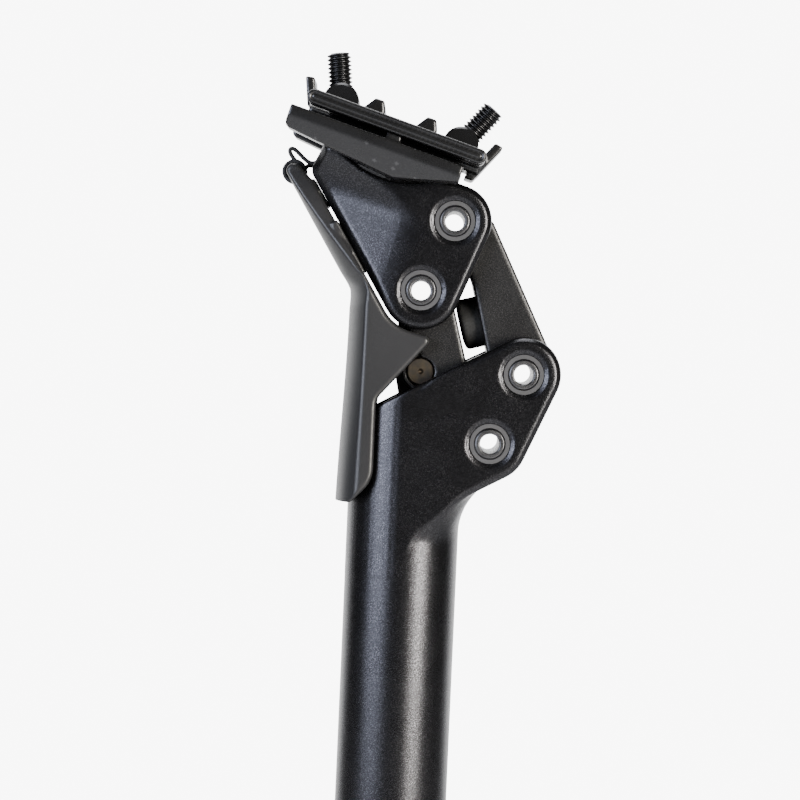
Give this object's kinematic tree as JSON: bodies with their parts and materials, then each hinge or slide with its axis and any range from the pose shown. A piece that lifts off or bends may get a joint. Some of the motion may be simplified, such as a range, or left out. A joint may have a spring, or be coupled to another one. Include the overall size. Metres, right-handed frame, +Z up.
{
  "type": "suspension seatpost",
  "caption": "Bicycle seatpost whose saddle clamp rides on two parallel links over a coil spring in the tube, with a rear fender, and tilts on two bolts.",
  "frame": {"origin": "centre of the tube's lower end, on the tube's axis", "axes": "+X forward towards the handlebar, +Y across the bicycle, +Z up along the tube's axis"},
  "size_m": [0.0693, 0.056, 0.372],
  "materials": {
    "anodised_black": "satin",
    "forged_black": "smooth",
    "rubber_black": "matte",
    "guard_black": "satin",
    "plastic_black": "matte",
    "bush_grey": "matte",
    "steel": "brushed",
    "spring_steel": "satin",
    "plug_alloy": "satin",
    "axle_alloy": "satin",
    "bolt_black": "satin"
  },
  "bodies": {
    "post": {"post_body": "anodised_black", "main_spring": "spring_steel", "inner_spring": "spring_steel", "lower_rear_bush_left": "bush_grey", "lower_rear_bush_right": "bush_grey", "lower_front_bush_left": "bush_grey", "lower_front_bush_right": "bush_grey"},
    "front_link": {"front_link": "anodised_black", "topout_bumper": "rubber_black", "lower_front_axle": "axle_alloy", "upper_front_axle": "axle_alloy"},
    "rear_link": {"rear_link": "anodised_black", "pushrod_pin": "steel", "lower_rear_axle": "axle_alloy", "upper_rear_axle": "axle_alloy"},
    "pushrod": {"pushrod": "plastic_black", "pushrod_bush": "bush_grey"},
    "piston": {"piston": "plastic_black", "piston_ring": "bush_grey"},
    "head": {"head": "anodised_black", "fender": "guard_black", "fender_band": "rubber_black", "upper_rear_bush_left": "bush_grey", "upper_rear_bush_right": "bush_grey", "upper_front_bush_left": "bush_grey", "upper_front_bush_right": "bush_grey", "rear_clamp_bolt": "bolt_black", "rear_clamp_washer": "bolt_black", "front_clamp_bolt": "bolt_black", "front_clamp_washer": "bolt_black"},
    "clamp": {"cradle": "forged_black", "upper_clamp": "forged_black"},
    "rear_nut": {"rear_clamp_nut": "bolt_black"},
    "front_nut": {"front_clamp_nut": "bolt_black"},
    "spring_seat": {"spring_seat": "plastic_black"},
    "preload_plug": {"preload_plug": "plug_alloy", "plug_o_ring": "rubber_black"}
  },
  "joints": [
    {"name": "suspension", "type": "hinge", "parent": "post", "child": "front_link", "pos_m": [0.0274, 0, 0.29605], "axis": [0, -1, 0], "range_deg": [0, 52], "stiffness_Nm_per_rad": 12, "springref_deg": -25.78},
    {"name": "rear_link_pivot", "type": "hinge", "parent": "post", "child": "rear_link", "pos_m": [0.02, 0, 0.2792], "axis": [0, -1, 0], "range_deg": [0, 52]},
    {"name": "head_pivot", "type": "hinge", "parent": "front_link", "child": "head", "pos_m": [0.00934, 0, 0.332], "axis": [0, -1, 0], "range_deg": [-52, 0]},
    {"name": "pushrod_pivot", "type": "hinge", "parent": "rear_link", "child": "pushrod", "pos_m": [0.0027, 0, 0.29569], "axis": [0, -1, 0], "range_deg": [-43.92, 0]},
    {"name": "piston_slide", "type": "slide", "parent": "post", "child": "piston", "axis": [0, 0, 1], "range_m": [-0.01991, 0], "deforming": ["main_spring", "inner_spring"]},
    {"name": "clamp_tilt", "type": "hinge", "parent": "head", "child": "clamp", "pos_m": [-0.0027, 0, 0.3614], "axis": [0, -1, 0], "range_deg": [-5, 5]},
    {"name": "rear_nut_slide", "type": "slide", "parent": "head", "child": "rear_nut", "axis": [-0.0993, 0, 0.9951], "range_m": [-0.0016, 0.0016]},
    {"name": "front_nut_slide", "type": "slide", "parent": "head", "child": "front_nut", "axis": [0.6521, 0, 0.7581], "range_m": [-0.0016, 0.0016]},
    {"name": "preload_travel", "type": "slide", "parent": "post", "child": "spring_seat", "axis": [0, 0, 1], "range_m": [-0.006, 0]},
    {"name": "preload_turn", "type": "hinge", "parent": "spring_seat", "child": "preload_plug", "pos_m": [0, 0, 0.01], "axis": [0, 0, 1], "range_deg": [-2160, 0]}
  ],
  "couplings": [
    {"joint": "rear_link_pivot", "follows": "suspension", "ratio": 1},
    {"joint": "head_pivot", "follows": "suspension", "ratio": -1},
    {"joint": "pushrod_pivot", "follows": "suspension", "ratio": -0.84446},
    {"joint": "piston_slide", "follows": "suspension", "m_per_rad": -0.02193},
    {"joint": "rear_nut_slide", "follows": "clamp_tilt", "m_per_rad": -0.016623},
    {"joint": "front_nut_slide", "follows": "clamp_tilt", "m_per_rad": 0.016623},
    {"joint": "preload_turn", "follows": "preload_travel", "rad_per_m": 6283.2}
  ]
}
